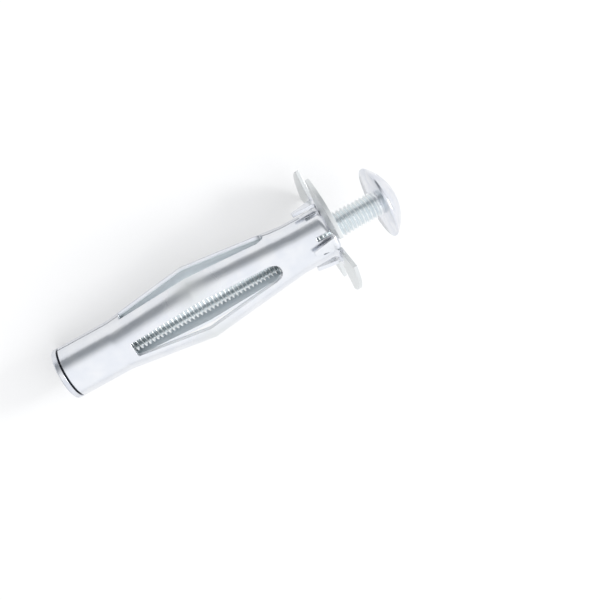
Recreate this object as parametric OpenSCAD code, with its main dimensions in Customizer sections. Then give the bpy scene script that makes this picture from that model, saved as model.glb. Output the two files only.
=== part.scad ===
// Hollow wall anchor: a slotted sheet-metal sleeve with a notched flange, a flanged nut
// seated in its tail, and a long mushroom-head machine screw, backed out of the flange.
// The legs are bowed outwards a little, as they leave the press, ready to fold up behind
// the board when the screw draws the nut towards the flange.
// Each piece is drawn upright on its own axis: tail at z = 0, flange above it.
// At the end the whole anchor is laid on its flange rim and tail, head along +X.

/* [Sleeve] */
// Outer diameter of the sleeve, just under the drilled hole
sleeve_d = 9.6; // [8.4:0.1:10.6]
// Thickness of the sheet
sheet = 0.75; // [0.5:0.05:0.9]
// Plain collar at the tail, up to the bend where the legs begin
tail_collar_l = 9.4; // [8:0.2:14]
// Tail half of the legs, from the collar to the crease
tail_leg_l = 15.8; // [12:0.2:26]
// Front half of the legs, from the crease to the front collar
front_leg_l = 19.3; // [14:0.2:28]
// Plain collar at the front, from the bend to the front of the flange
front_collar_l = 7.5; // [6.5:0.1:12]
// How far the legs are bowed out at the crease
leg_bow = 2.35; // [0.5:0.05:3]
// Width of each leg, measured round the curve
leg_w = 5.3; // [4:0.1:5.5]
// From the tail bend to the square end of each slot
slot_setback = 2.6; // [1:0.1:4]
// From the front bend back to the centre of the round end of each slot
slot_hole_setback = 5.4; // [3:0.1:8]
// Diameter of the round end of each slot
slot_hole_d = 3.3; // [2.4:0.1:3.8]
// Width of the seam where the two edges of the rolled sheet meet
seam_w = 0.24; // [0.1:0.02:0.5]

/* [Flange] */
// Diameter of the flange over its four lobes
flange_d = 24; // [20:0.2:27]
// Inside radius of the bend between the collar and the flange
neck_r = 1.0; // [0.6:0.1:1.5]
// Width of each notch at the rim
notch_rim_w = 5.8; // [4.4:0.1:7]
// Width of each notch at the collar
notch_root_w = 3.7; // [3.2:0.1:4.2]
// How far each notch runs down the collar, from the front of the flange
notch_depth = 3.3; // [2.8:0.1:4.5]

/* [Teeth] */
// Width of the tooth that is curled back out of each notch
tooth_w = 2.1; // [1.4:0.1:2.4]
// Length of the straight part of each tooth
tooth_l = 3.9; // [2:0.1:4.5]
// Radius of the curl, to the middle of the sheet
curl_r = 0.85; // [0.6:0.05:1]
// Width of each tooth at its point
tooth_tip_w = 0.5; // [0.3:0.1:1]
// Angle at which the tooth leans in towards the collar
tooth_lean = 4; // [0:1:8]

/* [Nut] */
// Thickness of the nut's rim, outside the tail
nut_rim_t = 0.95; // [0.6:0.05:1.5]
// Gap between the nut's rim and the end of the sleeve
nut_gap = 0.35; // [0.1:0.05:0.6]
// Length of the nut's hub, inside the tail
nut_hub_l = 7.6; // [5:0.2:9]
// Clearance between the hub and the sleeve, on the radius
hub_clearance = 0.04; // [0.02:0.01:0.1]
// Chamfer on the nut's edges
nut_edge = 0.2; // [0.1:0.05:0.3]
// Bevel at each mouth of the threaded hole
nut_countersink = 0.45; // [0.2:0.05:0.6]

/* [Screw] */
// Outside diameter of the thread
screw_d = 5; // [4:0.5:5]
// Length of the screw under its head
screw_l = 60; // [54:1:80]
// How far the head stands off the flange
backed_out = 10; // [2:0.5:16]
// Chamfer on the tip of the screw
tip_chamfer = 0.7; // [0.3:0.1:1.2]
// Clearance between the thread and the nut, on the radius
thread_clearance = 0.05; // [0.02:0.01:0.1]
// Fillet between the neck and the head
head_fillet = 0.35; // [0.1:0.05:0.6]

/* [Screw head] */
// Diameter of the mushroom head
head_d = 13.6; // [12.4:0.2:15]
// Height of the head
head_h = 3.5; // [2.8:0.1:4.5]
// Height of the straight band round the rim of the head
head_band = 0.45; // [0.2:0.05:0.8]
// Width of the driver slot
drive_slot_w = 1.4; // [1:0.1:1.8]
// Depth of the driver slot below the crown
drive_slot_depth = 1.9; // [1:0.1:2.2]
// Span of the cross recess over its wings
cross_span = 5.2; // [4:0.1:6]
// Width of the wings of the cross recess
cross_wing_w = 1.05; // [0.8:0.05:1.4]
// Depth of the cross recess below the crown
cross_depth = 2.7; // [2:0.1:2.9]

/* [Hidden] */

$fn = 96;
legs = 4;
leg_pitch = 360 / legs;
cut = 1;                                    // how far a cutting tool overshoots a surface

sleeve_r = sleeve_d / 2;
bore_r = sleeve_r - sheet;
flange_r = flange_d / 2;
crease_r = sleeve_r + leg_bow;

// Heights up the sleeve, from the tail
crease_z = tail_collar_l + tail_leg_l;
front_bend_z = crease_z + front_leg_l;
sleeve_l = front_bend_z + front_collar_l;   // front face of the flange
flange_back_z = sleeve_l - sheet;
neck_z = flange_back_z - neck_r;            // where the collar starts to flare
slot_start_z = tail_collar_l + slot_setback;
slot_hole_z = front_bend_z - slot_hole_setback;
notch_z = sleeve_l - notch_depth;

// Nut and screw
nut_back_z = -nut_gap - nut_rim_t;
thread_r = screw_d / 2;
head_z = sleeve_l + backed_out;             // bearing face of the head
head_r = head_d / 2;
dome_h = head_h - head_band;
dome_r = (head_r * head_r + dome_h * dome_h) / (2 * dome_h);
dome_z = head_z + head_h - dome_r;          // centre of the domed crown
crown_z = head_z + head_h;

// The flat root of the tooth lies just under the collar's curved wall, lowest at its edges
root_inset = 0.05;
tooth_base_r = sqrt(sleeve_r * sleeve_r - tooth_w * tooth_w / 4) - sheet - root_inset;
curl_z = sleeve_l - curl_r - sheet / 2;     // centre of the curl
curl_axis_r = tooth_base_r + sheet / 2 + curl_r;

// Laid down, one notch points at the floor: the anchor stands on the two ears beside it, at
// the back of the flange, and on the chamfered edge of the nut
ear_reach = sqrt(flange_r * flange_r - notch_rim_w * notch_rim_w / 4);
tail_touch_z = nut_back_z + nut_edge;
rest_tilt = atan((ear_reach - sleeve_r) / (flange_back_z - tail_touch_z));
rest_lift = sleeve_r * cos(rest_tilt) - tail_touch_z * sin(rest_tilt);
// Ends of the laid anchor along X, and the middle between them
tail_end_x = nut_back_z * cos(rest_tilt) - (sleeve_r - nut_edge) * sin(rest_tilt);
head_end_x = dome_z * cos(rest_tilt) + dome_r;
middle_x = (tail_end_x + head_end_x) / 2;

// Radius of the outside of the legs at height z
function leg_r(z) =
    z < crease_z
        ? sleeve_r + leg_bow * (z - tail_collar_l) / tail_leg_l
        : sleeve_r + leg_bow * (front_bend_z - z) / front_leg_l;

// Half the slot that is left between two legs where their outside radius is r
function half_slot(r) = r * sin(leg_pitch / 2 - leg_w / 2 / r * 180 / PI);

// Repeats what is drawn on the -X side once for each slot
module at_each_slot() {
    for (i = [0 : legs - 1])
        rotate([0, 0, i * leg_pitch])
            children();
}

// Half section of the tube, outer line up and inner line down
module tube_section() {
    polygon([
        [bore_r, 0],
        [sleeve_r, 0],
        [sleeve_r, tail_collar_l],
        [crease_r, crease_z],
        [sleeve_r, front_bend_z],
        [sleeve_r, neck_z],
        [bore_r, neck_z],
        [bore_r, front_bend_z],
        [crease_r - sheet, crease_z],
        [bore_r, tail_collar_l]
    ]);
}

// Half section of the flared neck: a quarter ring of sheet
module neck_section() {
    intersection() {
        translate([sleeve_r + neck_r, neck_z])
            difference() {
                circle(r = neck_r + sheet);
                circle(r = neck_r);
            }
        translate([bore_r, neck_z])
            square([sheet + neck_r, neck_r + sheet]);
    }
}

// Half section of the flat flange
module flange_section() {
    translate([sleeve_r + neck_r, flange_back_z])
        square([flange_r - sleeve_r - neck_r, sheet]);
}

// Slot between two legs: square at the tail, widest at the crease, round at the front
module slot_cutter() {
    start_half = half_slot(leg_r(slot_start_z));
    crease_half = half_slot(crease_r);
    rotate([0, -90, 0])
        linear_extrude(height = crease_r + cut)
            union() {
                polygon([
                    [slot_start_z, -start_half],
                    [crease_z, -crease_half],
                    [slot_hole_z, -slot_hole_d / 2],
                    [slot_hole_z, slot_hole_d / 2],
                    [crease_z, crease_half],
                    [slot_start_z, start_half]
                ]);
                translate([slot_hole_z, 0])
                    circle(d = slot_hole_d);
            }
}

// Notch in the flange, from the neck out past the rim
module notch_cutter() {
    rim_r = flange_r + cut;
    half_slope = (notch_rim_w - notch_root_w) / 2 / (ear_reach - sleeve_r - neck_r);
    rim_half = notch_rim_w / 2 + half_slope * (rim_r - ear_reach);
    translate([0, 0, curl_z])
        linear_extrude(height = sleeve_l - curl_z + cut)
            polygon([
                [-thread_r, -notch_root_w / 2],
                [-sleeve_r - neck_r, -notch_root_w / 2],
                [-rim_r, -rim_half],
                [-rim_r, rim_half],
                [-sleeve_r - neck_r, notch_root_w / 2],
                [-thread_r, notch_root_w / 2]
            ]);
}

// Two relief cuts that free the sides of a tooth from the collar
module relief_cutter() {
    relief_w = (notch_root_w - tooth_w) / 2;
    for (side = [-1, 1])
        translate([-flange_r, side * (tooth_w + relief_w) / 2 - relief_w / 2, notch_z])
            cube([flange_r - thread_r, relief_w, curl_z - notch_z + cut / 2]);
}

// Side view of a tooth: up out of the collar, round the curl and back towards the tail
module tooth_section() {
    root_l = sheet;
    translate([curl_z - root_l, tooth_base_r])
        square([root_l, sheet]);
    intersection() {
        translate([curl_z, curl_axis_r])
            difference() {
                circle(r = curl_r + sheet / 2);
                circle(r = curl_r - sheet / 2);
            }
        translate([curl_z, tooth_base_r])
            square([curl_r + sheet, 2 * curl_r + sheet]);
    }
    translate([curl_z, curl_axis_r + curl_r])
        rotate(tooth_lean)
            translate([-tooth_l, -sheet / 2])
                square([tooth_l, sheet]);
}

// Tooth curled back out of one notch, tapered to a point over its straight part
module tooth() {
    intersection() {
        rotate([0, -90, 0])
            rotate([90, 0, 0])
                translate([0, 0, -tooth_w / 2])
                    linear_extrude(height = tooth_w)
                        tooth_section();
        union() {
            // the root and the curl keep their full width
            translate([-flange_r, -tooth_w / 2, curl_z - sheet])
                cube([flange_r, tooth_w, curl_r + 2 * sheet]);
            // the straight part narrows towards the tail
            rotate([0, -90, 0])
                linear_extrude(height = flange_r)
                    polygon([
                        [curl_z, -tooth_w / 2],
                        [curl_z, tooth_w / 2],
                        [curl_z - tooth_l - cut, tooth_tip_w / 2],
                        [curl_z - tooth_l - cut, -tooth_tip_w / 2]
                    ]);
        }
    }
}

// One sheet-metal sleeve: tail collar, four bowed legs, front collar, lobed flange, teeth
module expansion_sleeve() {
    color([0.80, 0.82, 0.86])
        laid_down() {
            difference() {
                rotate_extrude() {
                    tube_section();
                    neck_section();
                    flange_section();
                }
                at_each_slot() {
                    slot_cutter();
                    notch_cutter();
                    relief_cutter();
                }
                // the seam runs through both collars along the first slot
                translate([-crease_r - cut, -seam_w / 2, -cut])
                    cube([crease_r + cut, seam_w, slot_start_z + 2 * cut]);
                translate([-crease_r - cut, -seam_w / 2, slot_hole_z])
                    cube([crease_r + cut, seam_w, notch_z - slot_hole_z - sheet]);
            }
            at_each_slot()
                tooth();
        }
}

// Flanged nut, held in the tail of the sleeve
module threaded_nut() {
    hub_r = bore_r - hub_clearance;
    hole_r = thread_r + thread_clearance;
    mouth_r = hole_r + nut_countersink;
    color([0.74, 0.76, 0.80])
        laid_down()
            rotate_extrude()
                polygon([
                    [mouth_r, nut_back_z],
                    [sleeve_r - nut_edge, nut_back_z],
                    [sleeve_r, nut_back_z + nut_edge],
                    [sleeve_r, -nut_gap],
                    [hub_r, -nut_gap],
                    [hub_r, nut_hub_l - nut_edge],
                    [hub_r - nut_edge, nut_hub_l],
                    [mouth_r, nut_hub_l],
                    [hole_r, nut_hub_l - nut_countersink],
                    [hole_r, nut_back_z + nut_countersink]
                ]);
}

// Half section of the mushroom head: rim band and domed crown
module head_section() {
    translate([0, head_z])
        square([head_r, head_band]);
    intersection() {
        translate([0, dome_z])
            circle(r = dome_r);
        translate([0, head_z + head_band])
            square([head_r + cut, dome_h + cut]);
    }
}

// Half section of the shank, with its tip chamfer and the fillet under the head
module shank_section() {
    tip_z = head_z - screw_l;
    polygon([
        [0, tip_z],
        [thread_r - tip_chamfer, tip_z],
        [thread_r, tip_z + tip_chamfer],
        [thread_r, head_z],
        [0, head_z]
    ]);
    difference() {
        translate([0, head_z - head_fillet])
            square([thread_r + head_fillet, head_fillet]);
        translate([thread_r + head_fillet, head_z - head_fillet])
            circle(r = head_fillet);
    }
}

// One pair of wings of the cross recess, narrowing as they go down
module cross_wings() {
    floor_half = cross_wing_w / 2;
    rotate([90, 0, 0])
        translate([0, 0, -cross_wing_w / 2])
            linear_extrude(height = cross_wing_w)
                polygon([
                    [-floor_half, crown_z - cross_depth],
                    [floor_half, crown_z - cross_depth],
                    [cross_span / 2, crown_z],
                    [cross_span / 2, crown_z + cut],
                    [-cross_span / 2, crown_z + cut],
                    [-cross_span / 2, crown_z]
                ]);
}

// Driver slot right across the head, with a cross recess at its middle
module drive_cutter() {
    translate([-head_r - cut, -drive_slot_w / 2, crown_z - drive_slot_depth])
        cube([2 * (head_r + cut), drive_slot_w, drive_slot_depth + cut]);
    cross_wings();
    rotate([0, 0, 90])
        cross_wings();
}

// Mushroom-head machine screw, drawn smooth at the outside diameter of its thread
module machine_screw() {
    color([0.70, 0.73, 0.78])
        laid_down()
            difference() {
                rotate_extrude() {
                    head_section();
                    shank_section();
                }
                drive_cutter();
            }
}

// Lays a piece down along +X, with one notch at the floor and the seam to the +Y side
module laid_down() {
    translate([-middle_x, 0, rest_lift])
        rotate([0, 90 - rest_tilt, 0])
            rotate([0, 0, -leg_pitch])
                children();
}

expansion_sleeve();
threaded_nut();
machine_screw();
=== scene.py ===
"""Hollow wall anchor: zinc-plated sleeve, nut and screw, lying on a pale floor under studio light."""
import math

import bpy
import numpy as np
from mathutils import Matrix, Vector


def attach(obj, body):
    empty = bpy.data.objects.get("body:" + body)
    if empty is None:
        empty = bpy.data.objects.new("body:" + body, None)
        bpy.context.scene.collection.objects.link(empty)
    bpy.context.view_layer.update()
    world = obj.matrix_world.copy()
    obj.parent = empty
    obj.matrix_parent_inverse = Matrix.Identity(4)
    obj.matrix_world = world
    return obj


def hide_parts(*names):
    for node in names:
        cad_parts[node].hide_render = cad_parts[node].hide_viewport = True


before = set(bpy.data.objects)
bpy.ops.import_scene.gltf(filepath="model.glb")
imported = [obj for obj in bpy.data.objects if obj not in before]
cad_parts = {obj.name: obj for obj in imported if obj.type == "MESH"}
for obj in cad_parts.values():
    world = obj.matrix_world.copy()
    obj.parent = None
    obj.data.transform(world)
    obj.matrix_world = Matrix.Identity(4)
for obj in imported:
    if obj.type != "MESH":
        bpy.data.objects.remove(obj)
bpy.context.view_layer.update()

MM = 0.001

# Bench frame, in millimetres: axis along +Z, tail collar at 0, first slot on the -X side.
SLEEVE_R, SHEET = 4.8, 0.75
TAIL_BEND_Z, CREASE_Z, FRONT_BEND_Z, SLEEVE_L = 9.4, 25.2, 44.5, 52.0
LEG_BOW, FOLD_SOFT, FOLD_ZONE = 2.35, 0.3, 0.4
SLOT_START_Z, HOLE_Z, HOLE_R, ROUND_TOP_Z = 12.0, 39.1, 1.65, 41.8
SEAM_W = 0.24
NECK_R, FLANGE_R = 1.0, 12.0
NOTCH_Z, NOTCH_ROOT_W, NOTCH_RIM_W = 48.7, 3.7, 5.8
TOOTH_W, TOOTH_TIP_W, TOOTH_L, TOOTH_LEAN = 2.1, 0.6, 3.7, math.radians(-4)
CURL_R, TIP_ARCH = 0.85, 0.25
NUT_BACK_Z, NUT_GAP, NUT_HUB_L, NUT_EDGE = -1.3, 0.35, 7.6, 0.2
HUB_PLAY, NUT_HOLE_R, COUNTERSINK, NUT_GROOVE = 0.04, 2.55, 0.45, 0.22
THREAD_R, ROOT_R, PITCH, RUN_OUT, NECK_DEPTH = 2.5, 2.04, 0.8, 0.5, 0.55
TIP_Z, TIP_R, FILLET_H, FILLET_R = 2.0, 1.8, 0.35, 0.3
HEAD_Z, HEAD_R, HEAD_BAND, HEAD_H = 62.0, 6.8, 0.45, 3.5
SHANK_SINK, DOME_SINK, PAST_CROWN, PAST_RIM = 0.3, 0.02, 1.0, 1.2
SLOT_W, SLOT_DEPTH = 1.4, 1.9
CROSS_SPAN, CROSS_ROOT, CROSS_W, CROSS_DEPTH = 5.2, 1.0, 1.05, 2.7
EDGE_ROUND, HEAD_EDGE_ROUND = 0.08, 0.07

# Half widths in a slot's columns, as rows of height and half width: the slot's own edge, and the
# line inside it that becomes the edge of the tooth.
SLOT_HALF = np.array([(0, 1.11), (36, 1.11), (HOLE_Z, 1.19), (43, 1.3),
                      (NOTCH_Z - 1, 1.8), (NOTCH_Z, 1.85)])
TOOTH_HALF = np.array([(0, 0.65), (43, 0.7), (NOTCH_Z - 1, 1.03), (NOTCH_Z, TOOTH_W / 2)])
# Places of the columns across a slot: 3 is the slot's edge, 2 the tooth's and 1 the seam's.
ACROSS = np.array([-3, -2.5, -2, -1.66, -1.33, -1, 1, 1.33, 1.66, 2, 2.5, 3])
SLOT_COLS, LEG_COLS = len(ACROSS), 19
PART_COLS = SLOT_COLS + LEG_COLS
NECK_ROWS, FLANGE_ROWS, CURL_ROWS = 8, 12, 12
BORE_ROWS, NUT_COLS = 120, 96
SHANK_ROWS, SHANK_COLS = 900, 48
DOME_ROWS, HEAD_COLS, POLE_TURN = 30, 128, 0.012
HAIR = 1e-6

# The laid anchor stands on two ears of the flange and on the edge of the nut.
EAR_REACH = math.sqrt(FLANGE_R ** 2 - NOTCH_RIM_W ** 2 / 4)
TOUCH_Z = NUT_BACK_Z + NUT_EDGE
TILT = math.atan((EAR_REACH - SLEEVE_R) / (SLEEVE_L - SHEET - TOUCH_Z))
LIFT = SLEEVE_R * math.cos(TILT) - TOUCH_Z * math.sin(TILT)
DOME_H = HEAD_H - HEAD_BAND
DOME_R = (HEAD_R ** 2 + DOME_H ** 2) / (2 * DOME_H)
DOME_Z = HEAD_Z + HEAD_H - DOME_R
TAIL_X = NUT_BACK_Z * math.cos(TILT) - (SLEEVE_R - NUT_EDGE) * math.sin(TILT)
HEAD_X = DOME_Z * math.cos(TILT) + DOME_R
LAY = (Matrix.Translation((-(TAIL_X + HEAD_X) / 2, 0, LIFT))
       @ Matrix.Rotation(math.pi / 2 - TILT, 4, "Y") @ Matrix.Rotation(-math.pi / 2, 4, "Z"))


def laid(points):
    """Bench millimetres to metres in the row frame."""
    m = np.array(LAY)
    return (np.asarray(points) @ m[:3, :3].T + m[:3, 3]) * MM


def round_axis(r, turn, z, shift=(0, 0)):
    """Points at radius r and angle turn about the axis, then moved sideways by shift."""
    return np.stack(np.broadcast_arrays(r * np.cos(turn) + shift[0],
                                        r * np.sin(turn) + shift[1], z), -1)


def turned_to(angle, x, y, z):
    """Points with x outwards at the angle given about the axis, y across it and z along it."""
    c, s = math.cos(angle), math.sin(angle)
    return np.stack(np.broadcast_arrays(x * c - y * s, x * s + y * c, z), -1)


def new_object(name, points, faces, smooth=None):
    """A mesh object from points in metres and rows of corners. With an angle for smooth, in
    degrees, it is shaded as a curve, but for the edges that turn by more than that."""
    mesh = bpy.data.meshes.new(name)
    mesh.from_pydata(points.tolist(), [], faces)
    mesh.validate()
    if smooth:
        mesh.shade_smooth()
        mesh.set_sharp_from_angle(angle=math.radians(smooth))
    obj = bpy.data.objects.new(name, mesh)
    bpy.context.scene.collection.objects.link(obj)
    return obj


def quads(rows, cols, wrap_rows=False, wrap_cols=False):
    """Corner indices of the cells of a grid of points, rows by columns."""
    i = np.arange(rows if wrap_rows else rows - 1)[:, None]
    j = np.arange(cols if wrap_cols else cols - 1)[None, :]
    i2, j2 = (i + 1) % rows, (j + 1) % cols
    return np.stack([i * cols + j, i * cols + j2, i2 * cols + j2, i2 * cols + j], -1)


def modifier(obj, kind, **settings):
    """Adds a modifier of a kind, such as BEVEL, with its settings."""
    m = obj.modifiers.new(kind.title(), kind)
    for key, value in settings.items():
        setattr(m, key, value)


def soft_edges(obj, width, segments, angle, clamp):
    """Rounds every edge sharper than the angle, in degrees. The width is in millimetres."""
    modifier(obj, "BEVEL", width=width * MM, segments=segments, limit_method="ANGLE",
             angle_limit=math.radians(angle), use_clamp_overlap=clamp, harden_normals=True)


def apply_modifiers(obj):
    """Bakes the object's modifiers into its mesh."""
    dg = bpy.context.evaluated_depsgraph_get()
    baked = bpy.data.meshes.new_from_object(obj.evaluated_get(dg))
    obj.modifiers.clear()
    obj.data = baked


# ---------------------------------------------------------------- sleeve

def bow(z):
    """How far the legs stand out at height z: straight up to the crease and straight down to the
    front bend, averaged over FOLD_SOFT to either side so that the folds are rounded."""
    z = z[..., None] + np.linspace(-FOLD_SOFT, FOLD_SOFT, 11)
    up = np.minimum((z - TAIL_BEND_Z) / (CREASE_Z - TAIL_BEND_Z),
                    (FRONT_BEND_Z - z) / (FRONT_BEND_Z - CREASE_Z))
    return LEG_BOW * np.clip(up, 0, None).mean(-1)


def tube_rows():
    """Heights of the rows of the tube: close together at the three folds and at the slots' round
    ends, and the last two a sheet's thickness apart at the foot of the notches."""
    stops = [0, TAIL_BEND_Z - FOLD_ZONE, TAIL_BEND_Z + FOLD_ZONE, SLOT_START_Z,
             CREASE_Z - FOLD_ZONE, CREASE_Z + FOLD_ZONE, HOLE_Z, ROUND_TOP_Z,
             FRONT_BEND_Z - FOLD_ZONE, FRONT_BEND_Z + FOLD_ZONE, NOTCH_Z - SHEET]
    counts = [10, 6, 3, 14, 8, 14, 8, 3, 6, 4]
    runs = [np.linspace(a, b, n, endpoint=False) for a, b, n in zip(stops, stops[1:], counts)]
    return np.concatenate([*runs, [NOTCH_Z - SHEET, NOTCH_Z]])


def flange_rows():
    """Radii and heights of the rows past the tube: one between, a quarter circle for the neck, and
    straight out to the rim."""
    foot = SLEEVE_L - SHEET - NECK_R
    neck = np.radians(np.linspace(0, 90, NECK_ROWS))
    out = np.linspace(SLEEVE_R + NECK_R, FLANGE_R, FLANGE_ROWS + 1)[1:]
    r = np.concatenate([[SLEEVE_R], SLEEVE_R + NECK_R * (1 - np.cos(neck)), out])
    z = np.concatenate([[(NOTCH_Z + foot) / 2], foot + NECK_R * np.sin(neck),
                        np.full(FLANGE_ROWS, SLEEVE_L - SHEET)])
    return r, z


def slot_columns(tube_z, tooth_rows, mid):
    """The columns of the slot whose middle is at the angle mid, with its tooth past the tube.

    On the tube they run round it between the two legs, moved by a mix of what bow() moves those
    two, and above the slot they rise by a half ellipse that fades out, which rounds its end. The
    tooth goes on from them as a strip: up, round a half circle outwards and back towards the tail,
    narrowing to its tip and flattening on the way."""
    reach = np.abs(ACROSS)
    share = np.stack([np.clip(reach - 2, 0, 1), 1 - np.abs(reach - 2), np.clip(2 - reach, 0, 1)])
    edge = np.interp(tube_z, *SLOT_HALF.T)
    lines = np.stack([edge, np.interp(tube_z, *TOOTH_HALF.T), np.full(len(tube_z), SEAM_W / 2)], -1)
    y = np.sign(ACROSS) * (lines @ share)
    part = y / edge[:, None]
    second = (part + 1) / 2
    push = bow(tube_z)[:, None]
    legs = mid - math.pi / 4, mid + math.pi / 4
    shift = [push * ((1 - second) * f(legs[0]) + second * f(legs[1])) for f in (math.cos, math.sin)]
    fade = np.clip((ROUND_TOP_Z - tube_z) / (ROUND_TOP_Z - HOLE_Z), 0, 1) * (tube_z > HOLE_Z - HAIR)
    rise = fade[:, None] * np.sqrt(np.clip(1 - part ** 2, 0, None)) * HOLE_R
    tube = round_axis(SLEEVE_R, mid + np.arcsin(y / SLEEVE_R), tube_z[:, None] + rise, shift)

    y = y[-1]
    drop = SLEEVE_R - np.sqrt(SLEEVE_R ** 2 - y ** 2)
    inner = CURL_R - SHEET / 2
    curl_z = SLEEVE_L - CURL_R - SHEET / 2
    a = np.linspace(0, math.pi, CURL_ROWS)
    back = np.linspace(0, 1, tooth_rows - CURL_ROWS)[1:] * TOOTH_L
    x = np.concatenate([[0.0], inner * (1 - np.cos(a)), 2 * inner + back * math.sin(TOOTH_LEAN)])
    z = np.concatenate([[(NOTCH_Z + curl_z) / 2], curl_z + inner * np.sin(a), curl_z - back])
    narrow = np.interp(z, [curl_z - TOOTH_L, curl_z], [TOOTH_TIP_W / TOOTH_W, 1])
    narrow[:CURL_ROWS + 1] = 1
    arch = np.linspace(1, TIP_ARCH, tooth_rows)[:, None]
    tooth = turned_to(mid, SLEEVE_R + x[:, None] - drop * arch, y * narrow[:, None], z[:, None])
    return np.concatenate([tube, tooth])


def leg_columns(tube_z, lobe_r, lobe_z, centre):
    """The columns of the leg whose middle is at the angle centre, with its lobe of the flange, and
    the two edges of the lobe by themselves. On the tube they fill what the slots leave, moved
    outwards whole by bow(z), so the leg keeps the roundness of the tube. On the flange they fill
    what the notches leave, whose half width grows evenly from the neck to the rim."""
    spread = np.linspace(-1, 1, LEG_COLS + 2)
    open_turn = np.arcsin(np.interp(tube_z, *SLOT_HALF.T) / SLEEVE_R)[:, None]
    push = bow(tube_z)[:, None]
    tube = round_axis(SLEEVE_R, centre + spread[1:-1] * (math.pi / 4 - open_turn), tube_z[:, None],
                      (push * math.cos(centre), push * math.sin(centre)))
    notch = np.interp(lobe_r, [SLEEVE_R + NECK_R, EAR_REACH], [NOTCH_ROOT_W / 2, NOTCH_RIM_W / 2])
    ear_turn = np.arcsin(notch / lobe_r)[:, None]
    lobe = round_axis(lobe_r[:, None], centre + spread * (math.pi / 4 - ear_turn), lobe_z[:, None])
    return np.concatenate([tube, lobe[:, 1:-1]]), lobe[:, [0, -1]]


def sleeve_mesh():
    """Points and cells of one sheet, rows up the sleeve by columns round it, given by its outer
    side: four times the columns of a slot and of a leg. Columns follow the edges of slot, notch,
    tooth and seam, and the cells inside those are left out. The edges of the lobes have points of
    their own, eight in each row past the tube, kept after the grid."""
    tube_z = tube_rows()
    lobe_r, lobe_z = flange_rows()
    blocks, edges = [], []
    for k in range(4):
        mid = math.pi + k * math.pi / 2
        leg, lobe_edges = leg_columns(tube_z, lobe_r, lobe_z, mid + math.pi / 4)
        blocks += [slot_columns(tube_z, len(lobe_z), mid), leg]
        edges.append(lobe_edges)
    grid, edges = np.concatenate(blocks, 1), np.concatenate(edges, 1)
    rows, cols = grid.shape[:2]
    points = np.concatenate([grid.reshape(-1, 3), edges.reshape(-1, 3)])
    cells = quads(rows, cols, wrap_cols=True)

    row, col = np.indices((rows - 1, cols))
    number, place = col // PART_COLS, col % PART_COLS
    slot_row, hole_row = np.searchsorted(tube_z, [SLOT_START_Z - HAIR, HOLE_Z - HAIR])
    notch_row = len(tube_z) - 1
    in_slot = place < SLOT_COLS - 1
    beside_tooth = in_slot & ((place < 2) | (place >= SLOT_COLS - 3))
    on_seam = (place == SLOT_COLS // 2 - 1) & (number == 0)
    gone = in_slot & (row >= slot_row) & (row < hole_row)
    gone |= beside_tooth & (row >= notch_row)
    gone |= on_seam & ((row < slot_row) | ((row >= hole_row) & (row < notch_row - 1)))

    # past the notch's foot, a leg's outermost cells end on the lobe's edges, not on the slot
    first = row == notch_row
    edge = rows * cols + 2 * number
    low, top = [np.clip(row - notch_row - 1 + n, 0, None) * edges.shape[1] for n in (0, 1)]
    for corners, last, edge_no in (((0, 3), SLOT_COLS - 1, 0), ((1, 2), PART_COLS - 1, 1)):
        here = (place == last) & (row >= notch_row)
        for corner, level, moved in zip(corners, (low, top), (here & ~first, here)):
            cells[..., corner] = np.where(moved, edge + edge_no + level, cells[..., corner])
    cells = cells[~gone]

    used, index = np.unique(cells, return_inverse=True)
    return points[used], index.reshape(cells.shape)


points, cells = sleeve_mesh()
sleeve = new_object("sleeve_sheet", laid(points), cells.tolist(), 50)
modifier(sleeve, "SOLIDIFY", thickness=SHEET * MM, offset=-1, use_even_offset=True)
soft_edges(sleeve, EDGE_ROUND, 2, 50, False)


# ---------------------------------------------------------------- turned pieces

def turned(name, r, z, columns, closed=False, smooth=35):
    """A surface of revolution: one z for each row, and one r for each row or for each point of it.
    A closed outline makes a ring; an open one has a point on the axis at each end."""
    turn = np.arange(columns) * 2 * math.pi / columns
    r = r if np.ndim(r) == 2 else r[:, None]
    points = round_axis(r, turn, z[:, None]).reshape(-1, 3)
    faces = quads(len(r), columns, wrap_rows=closed, wrap_cols=True).reshape(-1, 4).tolist()
    if not closed:
        n = len(points)
        points = np.concatenate([points, [[0, 0, z[0]], [0, 0, z[-1]]]])
        ring = np.arange(columns)
        following = (ring + 1) % columns
        last = n - columns
        faces += np.stack([np.full(columns, n), following, ring], -1).tolist()
        faces += np.stack([np.full(columns, n + 1), last + ring, last + following], -1).tolist()
    return new_object(name, laid(points), faces, smooth)


def thread_depth(phase):
    """Depth of a 60 degree thread, 0 at the crest and 1 at the root, over one turn of phase: two
    straight flanks, cut off flat at crest and root."""
    p = np.abs((phase % 1) - 0.5) * 2
    return np.clip((1 - p) * 1.45 - 0.14, 0, 1)


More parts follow.
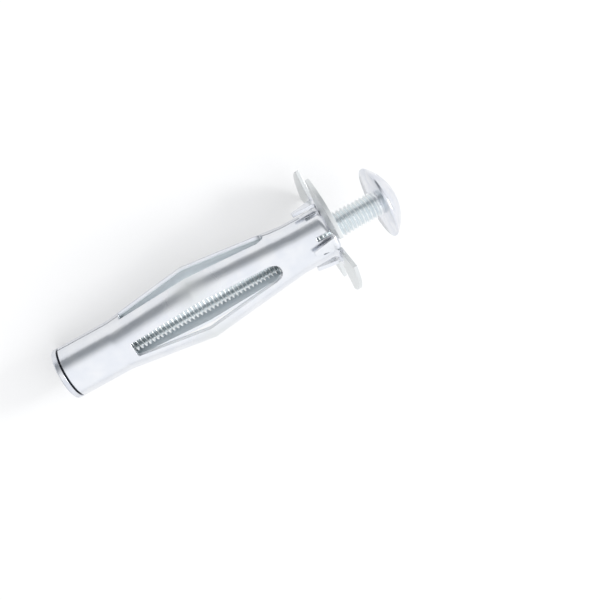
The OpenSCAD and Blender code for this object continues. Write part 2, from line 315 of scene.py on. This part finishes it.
def nut_piece():
    """The nut as one closed outline turned about the axis: flanged rim, hub, and a bore whose rows
    follow a helical groove that eases out over RUN_OUT at both ends."""
    hub_r = SLEEVE_R - SHEET - HUB_PLAY
    mouth_r = NUT_HOLE_R + COUNTERSINK
    bore_z = np.linspace(NUT_HUB_L - COUNTERSINK, NUT_BACK_Z + COUNTERSINK, BORE_ROWS)
    outline = np.array([(mouth_r, NUT_BACK_Z), (SLEEVE_R - NUT_EDGE, NUT_BACK_Z),
                        (SLEEVE_R, NUT_BACK_Z + NUT_EDGE), (SLEEVE_R, -NUT_GAP), (hub_r, -NUT_GAP),
                        (hub_r, NUT_HUB_L - NUT_EDGE), (hub_r - NUT_EDGE, NUT_HUB_L),
                        (mouth_r, NUT_HUB_L)])
    r = np.concatenate([outline[:, 0], np.full(BORE_ROWS, NUT_HOLE_R)])
    z = np.concatenate([outline[:, 1], bore_z])
    ease = np.clip(np.minimum(bore_z[0] - bore_z, bore_z - bore_z[-1]) / RUN_OUT, 0, 1)[:, None]
    turn = np.arange(NUT_COLS) / NUT_COLS
    groove = np.zeros((len(r), NUT_COLS))
    groove[len(outline):] = NUT_GROOVE * thread_depth(bore_z[:, None] / PITCH - turn) * ease
    return turned("nut_ring", r[:, None] + groove, z, NUT_COLS, closed=True)


def shank_piece():
    """Shank from its tip up into the head: radius is the lower of the thread's helix and the tip's
    45 degree chamfer. The helix runs out to a plain neck, and under the head the fillet adds a
    parabola."""
    z = np.linspace(TIP_Z, HEAD_Z + SHANK_SINK, SHANK_ROWS)
    turn = np.arange(SHANK_COLS) / SHANK_COLS
    cut = np.clip((HEAD_Z - RUN_OUT - z) / RUN_OUT, 0, 1)[:, None]
    depth = thread_depth(z[:, None] / PITCH - turn) * cut + (1 - cut) * NECK_DEPTH
    r = THREAD_R - (THREAD_R - ROOT_R) * depth
    r = np.minimum(r, (TIP_R + np.maximum(z - TIP_Z, 0))[:, None])
    r += (FILLET_R * np.clip((z - HEAD_Z + FILLET_H) / FILLET_H, 0, 1) ** 2)[:, None]
    return turned("screw_shank", r, z, SHANK_COLS, smooth=60)


def head_piece():
    """Head as an open outline turned about the axis: flat underneath, the rim's corner cut in two
    steps, and a dome that is an arc of radius DOME_R up to just off its pole."""
    a = np.linspace(math.asin(HEAD_R / DOME_R), POLE_TURN, DOME_ROWS)
    under = np.array([(2.0, 0), (HEAD_R - 0.12, 0), (HEAD_R - 0.035, 0.035), (HEAD_R, 0.12)])
    r = np.concatenate([under[:, 0], DOME_R * np.sin(a)])
    z = np.concatenate([HEAD_Z + under[:, 1], DOME_Z - DOME_SINK + DOME_R * np.cos(a)])
    return turned("screw_head", r, z, HEAD_COLS)


def cutter(name, outline, width, turn):
    """A prism: an outline in x and z, given a width across, turned about the axis."""
    x, z = np.array(outline, float).T
    n = len(x)
    i = np.arange(n)
    i2 = (i + 1) % n
    faces = np.stack([i, i + n, i2 + n, i2], -1).tolist() + [i.tolist(), (i + n)[::-1].tolist()]
    both = np.concatenate([turned_to(turn, x, y, z) for y in (-width / 2, width / 2)])
    return new_object(name, laid(both), faces)


def cut_recess(head):
    """Cuts a slot right across the head, and a cross of two wings that narrow downwards."""
    crown = HEAD_Z + HEAD_H
    slot_z, cross_z, above = crown - SLOT_DEPTH, crown - CROSS_DEPTH, crown + PAST_CROWN
    far, half, root = HEAD_R + PAST_RIM, CROSS_SPAN / 2, CROSS_ROOT / 2
    slot = [(-far, slot_z), (far, slot_z), (far, above), (-far, above)]
    wing = [(-root, cross_z), (root, cross_z), (half, crown), (half, above), (-half, above),
            (-half, crown)]
    cutters = [cutter("cut_slot", slot, SLOT_W, 0), cutter("cut_wing_a", wing, CROSS_W, 0),
               cutter("cut_wing_b", wing, CROSS_W, math.pi / 2)]
    for c in cutters:
        modifier(head, "BOOLEAN", operation="DIFFERENCE", object=c, solver="EXACT")
    apply_modifiers(head)
    head.data.set_sharp_from_angle(angle=math.radians(30))
    for c in cutters:
        bpy.data.objects.remove(c)


nut = nut_piece()
soft_edges(nut, EDGE_ROUND, 2, 40, True)
shank = shank_piece()
head = head_piece()
cut_recess(head)
soft_edges(head, HEAD_EDGE_ROUND, 3, 30, False)


# ---------------------------------------------------------------- materials

# Base colours of the zinc. Clouds are two ends between which a colour varies softly.
SHEET_CLOUDS = (0.75, 0.77, 0.81, 1), (0.81, 0.82, 0.84, 1)
LOBE_GREY, INSIDE_BLUE = (0.74, 0.76, 0.75, 1), (0.74, 0.79, 0.82, 1)
NUT_CLOUDS = (0.66, 0.68, 0.73, 1), (0.78, 0.79, 0.81, 1)
# Painted shade: near black for the nut's gap behind its rim, where shadow falls.
GAP_SHADE_PAINT = (0.10, 0.11, 0.13, 1)
# Painted light on the thread: crests lighter as painted highlight, grooves darker as painted shade.
CREST_BLUE_PAINTED_LIGHT, GROOVE_BLUE_PAINTED_SHADE = (0.93, 0.95, 0.95, 1), (0.76, 0.81, 0.83, 1)
HEAD_CLOUDS = (0.66, 0.68, 0.73, 1), (0.75, 0.76, 0.79, 1)
FLOOR_WHITE, FLOOR_OWN_SHARE = (0.9, 0.9, 0.9, 1), 0.45


class Sock:
    """A shader socket that does sums: each one adds a Math node."""
    def __init__(self, shader, socket):
        self.shader, self.socket = shader, socket

    def sum(self, op, *others, flip=False):
        args = [*others[::-1], self] if flip else [self, *others]
        node = self.shader.node("ShaderNodeMath", {"operation": op},
                                **{str(i): v for i, v in enumerate(args)})
        return Sock(self.shader, node.outputs[0])

    def __add__(self, o): return self.sum("ADD", o)
    def __radd__(self, o): return self.sum("ADD", o, flip=True)
    def __sub__(self, o): return self.sum("SUBTRACT", o)
    def __rsub__(self, o): return self.sum("SUBTRACT", o, flip=True)
    def __mul__(self, o): return self.sum("MULTIPLY", o)
    def __rmul__(self, o): return self.sum("MULTIPLY", o, flip=True)
    def __truediv__(self, o): return self.sum("DIVIDE", o)
    def __pow__(self, o): return self.sum("POWER", o)

    def smooth(self, low, high):
        """0 at low and 1 at high, with an even start and end."""
        node = self.shader.node("ShaderNodeMapRange", {"interpolation_type": "SMOOTHSTEP"},
                                Value=self, **{"From Min": low, "From Max": high})
        return Sock(self.shader, node.outputs[0])


class Shader:
    """The nodes of a material or of a world, built from none."""
    def __init__(self, owner):
        self.owner = owner
        owner.use_nodes = True
        owner.node_tree.nodes.clear()

    def node(self, kind, settings=(), **inputs):
        """Makes a node: its settings first, then the values and links of its sockets, which are
        named or numbered."""
        node = self.owner.node_tree.nodes.new(kind)
        for key, value in dict(settings).items():
            setattr(node, key, value)
        for key, value in inputs.items():
            socket = node.inputs[int(key) if key.isdigit() else key]
            if isinstance(value, Sock):
                self.owner.node_tree.links.new(value.socket, socket)
            else:
                socket.default_value = value
        return node

    def mix(self, mask, low, high):
        """The colour low where the mask is 0, and high where it is 1."""
        node = self.node("ShaderNodeMix", {"data_type": "RGBA"}, **{"0": mask, "6": low, "7": high})
        return Sock(self, node.outputs[2])


class Finish(Shader):
    """The material of a piece. x, y and z are the bench's axes and r the distance from its own,
    in millimetres, found from Object coordinates by undoing the way the anchor is laid."""
    def __init__(self, name):
        super().__init__(bpy.data.materials.new(name))
        spot = self.node("ShaderNodeTexCoord").outputs["Object"]
        place = LAY.copy()
        place.translation = LAY.translation * MM
        bench = self.node("ShaderNodeMapping", {"vector_type": "TEXTURE"}, Vector=Sock(self, spot),
                          Location=place.translation, Rotation=place.to_3x3().to_euler(),
                          Scale=(MM, MM, MM))
        self.bench = Sock(self, bench.outputs[0])
        parts = self.node("ShaderNodeSeparateXYZ", Vector=self.bench).outputs
        self.x, self.y, self.z = [Sock(self, p) for p in parts]
        self.r = (self.x ** 2 + self.y ** 2) ** 0.5

    def noise(self, scale, detail, stretch=(1, 1, 1)):
        """Noise of so many lumps to a millimetre, and along each axis so many times as many."""
        where = self.node("ShaderNodeVectorMath", {"operation": "MULTIPLY"},
                          **{"0": self.bench, "1": stretch})
        node = self.node("ShaderNodeTexNoise", Vector=Sock(self, where.outputs[0]), Scale=scale,
                         Detail=detail)
        return Sock(self, node.outputs[0])

    def bump(self, height, full, strength):
        """A normal from a height, where a height of 1 stands for full, in millimetres."""
        node = self.node("ShaderNodeBump", Height=height, Distance=full * MM, Strength=strength)
        return Sock(self, node.outputs[0])

    def metal(self, colour, rough, normal):
        """The finished material, metal all over."""
        skin = self.node("ShaderNodeBsdfPrincipled", Metallic=1.0, Roughness=rough, Normal=normal,
                         **{"Base Color": colour})
        self.node("ShaderNodeOutputMaterial", Surface=Sock(self, skin.outputs[0]))
        return self.owner


def sheet_finish():
    """Bright zinc on pressed sheet, matt and speckled on the lobes, with drawn lines up the tube,
    and duller inside. Inside is where the distance from a leg's own middle line, which bow() moves
    outwards on the diagonals, falls short of the outer side by most of the sheet's thickness."""
    m = Finish("zinc_sheet")
    across, over = m.x.sum("ABSOLUTE"), m.y.sum("ABSOLUTE")
    up = (m.z - TAIL_BEND_Z) / (CREASE_Z - TAIL_BEND_Z)
    down = (FRONT_BEND_Z - m.z) / (FRONT_BEND_Z - CREASE_Z)
    rise = up.sum("MINIMUM", down).sum("MAXIMUM", 0.0) * LEG_BOW
    outward, aside = (across + over) * 0.5 ** 0.5 - rise, (across - over) * 0.5 ** 0.5
    from_middle = (outward ** 2 + aside * aside) ** 0.5
    inside = from_middle.smooth(SLEEVE_R - 0.3, SLEEVE_R - SHEET + 0.05) * m.z.smooth(50.0, 49.0)
    lobes = m.r.smooth(6.2, 7.4)
    cloud, fine = m.noise(0.35, 3), m.noise(5.5, 3)
    lines = m.noise(3.0, 3, (1, 1, 0.06))
    colour = m.mix(cloud.smooth(0.3, 0.75), *SHEET_CLOUDS)
    colour = m.mix(inside, m.mix(lobes * 0.8, colour, LOBE_GREY), INSIDE_BLUE)
    rough = 0.20 + 0.06 * cloud + lobes * 0.22 + inside * 0.15
    height = fine * (0.25 + lobes) + lines * (1 - lobes) * 0.8
    return m.metal(colour, rough, m.bump(height, 0.03, 0.5))


def nut_finish():
    """Bright zinc on the turned nut, with fine rings from the tool, and painted shade, near black,
    down in the gap behind its rim."""
    m = Finish("zinc_nut")
    cloud, rings = m.noise(0.5, 3), m.noise(6.0, 2, (0.1, 0.1, 1))
    # painted shade: the gap behind the rim is coloured near black
    past_rim = m.z.smooth(-NUT_GAP - 0.06, -NUT_GAP + 0.02)
    painted_gap_shade = past_rim * m.r.smooth(SLEEVE_R - 0.1, SLEEVE_R - 0.3)
    colour = m.mix(painted_gap_shade, m.mix(cloud.smooth(0.35, 0.7), *NUT_CLOUDS), GAP_SHADE_PAINT)
    return m.metal(colour, 0.22 + 0.12 * cloud, m.bump(rings, 0.02, 0.4))


def screw_finish():
    """Bright zinc: pale blue on the rolled thread, with painted highlight on its crests and
    painted shade in its grooves, glossy on the head.
    """
    m = Finish("zinc_screw")
    on_head = m.z.smooth(HEAD_Z - 0.4, HEAD_Z)
    cloud, fine = m.noise(0.45, 3), m.noise(6.0, 2)
    # painted highlight on the crests and painted shade in the grooves, chosen by distance from the
    # axis
    thread = m.mix(m.r.smooth(2.42, 2.1), CREST_BLUE_PAINTED_LIGHT, GROOVE_BLUE_PAINTED_SHADE)
    colour = m.mix(on_head, thread, m.mix(cloud.smooth(0.4, 0.65), *HEAD_CLOUDS))
    return m.metal(colour, 0.26 + 0.1 * cloud - on_head * 0.12, m.bump(fine, 0.02, 0.3))


def floor_finish():
    """Matt white. Part of its white is its own, for the camera and for what the metal mirrors, so
    that shadows stay pale."""
    m = Shader(bpy.data.materials.new("floor_white"))
    matt = m.node("ShaderNodeBsdfPrincipled", Roughness=0.9,
                  **{"Base Color": FLOOR_WHITE, "Specular IOR Level": 0.1})
    own = m.node("ShaderNodeEmission")
    ray = m.node("ShaderNodeLightPath").outputs
    seen = Sock(m, ray["Is Camera Ray"]).sum("MAXIMUM", Sock(m, ray["Is Glossy Ray"]))
    both = m.node("ShaderNodeMixShader", **{"0": seen * FLOOR_OWN_SHARE,
                                            "1": Sock(m, matt.outputs[0]),
                                            "2": Sock(m, own.outputs[0])})
    m.node("ShaderNodeOutputMaterial", Surface=Sock(m, both.outputs[0]))
    return m.owner


sheet_zinc, nut_zinc, screw_zinc = sheet_finish(), nut_finish(), screw_finish()
for obj, finish in ((sleeve, sheet_zinc), (nut, nut_zinc), (shank, screw_zinc), (head, screw_zinc)):
    obj.data.materials.clear()
    obj.data.materials.append(finish)

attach(sleeve, "anchor"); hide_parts("expansion_sleeve")
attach(nut, "anchor"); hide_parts("threaded_nut")
for obj in (shank, head):
    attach(obj, "screw"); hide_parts("machine_screw")


# ---------------------------------------------------------------- floor, light, camera

def floor_piece():
    """A square sheet just under the anchor and far wider than it: flat, z = -0.02 mm."""
    n = 9
    x, y = np.meshgrid(np.linspace(-2.5, 2.5, n), np.linspace(-2.5, 2.5, n))
    points = np.dstack([x, y, np.full_like(x, -0.02 * MM)]).reshape(-1, 3)
    obj = new_object("floor", points, quads(n, n).reshape(-1, 4).tolist())
    obj.data.materials.append(floor_finish())
    return obj


def soft_light(name, towards, distance, size, power):
    """A square soft light at a distance, in the direction given, facing the anchor."""
    data = bpy.data.lights.new(name, "AREA")
    data.shape, data.size, data.energy = "SQUARE", size, power
    obj = bpy.data.objects.new(name, data)
    way = Vector(towards).normalized()
    obj.location = way * distance
    obj.rotation_mode = "QUATERNION"
    obj.rotation_quaternion = way.to_track_quat("Z", "Y")
    bpy.context.scene.collection.objects.link(obj)


def studio_world(bright, dim, towards):
    """Even light, bright in one direction and dimmer and cooler away from it, so that metal has
    both to mirror. It goes from one to the other by the cosine of the angle to that direction."""
    m = Shader(bpy.data.worlds.new("studio"))
    way = Sock(m, m.node("ShaderNodeTexCoord").outputs["Generated"])
    along = m.node("ShaderNodeVectorMath", {"operation": "DOT_PRODUCT"},
                   **{"0": way, "1": Vector(towards).normalized()})
    dim_tint = [dim * c for c in (0.90, 0.95, 1.0)] + [1]
    bright_tint = [bright * c for c in (0.97, 0.98, 1.0)] + [1]
    tint = m.mix(Sock(m, along.outputs["Value"]).smooth(0.0, 0.55), dim_tint, bright_tint)
    light = m.node("ShaderNodeBackground", Color=tint)
    m.node("ShaderNodeOutputWorld", Surface=Sock(m, light.outputs[0]))
    bpy.context.scene.world = m.owner


def camera_at(stand, back, up, focal_px, frame_px=600, sensor=36):
    """A camera that stands at a point in millimetres. back points from the scene to it, up is made
    square to that, and the focal length is given in pixels of the frame."""
    data = bpy.data.cameras.new("camera")
    data.sensor_width = sensor
    data.lens = focal_px / frame_px * sensor
    data.clip_start, data.clip_end = 0.005, 20
    back = Vector(back).normalized()
    side = Vector(up).cross(back).normalized()
    axes = Matrix((side, back.cross(side), back)).transposed()
    obj = bpy.data.objects.new("camera", data)
    obj.matrix_world = Matrix.Translation(Vector(stand) * MM) @ axes.to_4x4()
    bpy.context.scene.collection.objects.link(obj)
    bpy.context.scene.camera = obj


floor_piece()
soft_light("key", (0.89, -0.09, 0.45), 0.6, 0.2, 1.8)
studio_world(1.15, 0.36, (0.1, -0.35, 0.87))
camera_at((-13.12, 54.72, 126.27), (-0.1685, 0.4788, 0.8616), (0.5317, 0.7802, -0.3296), 723.5)
bpy.context.scene.view_settings.view_transform = "Standard"
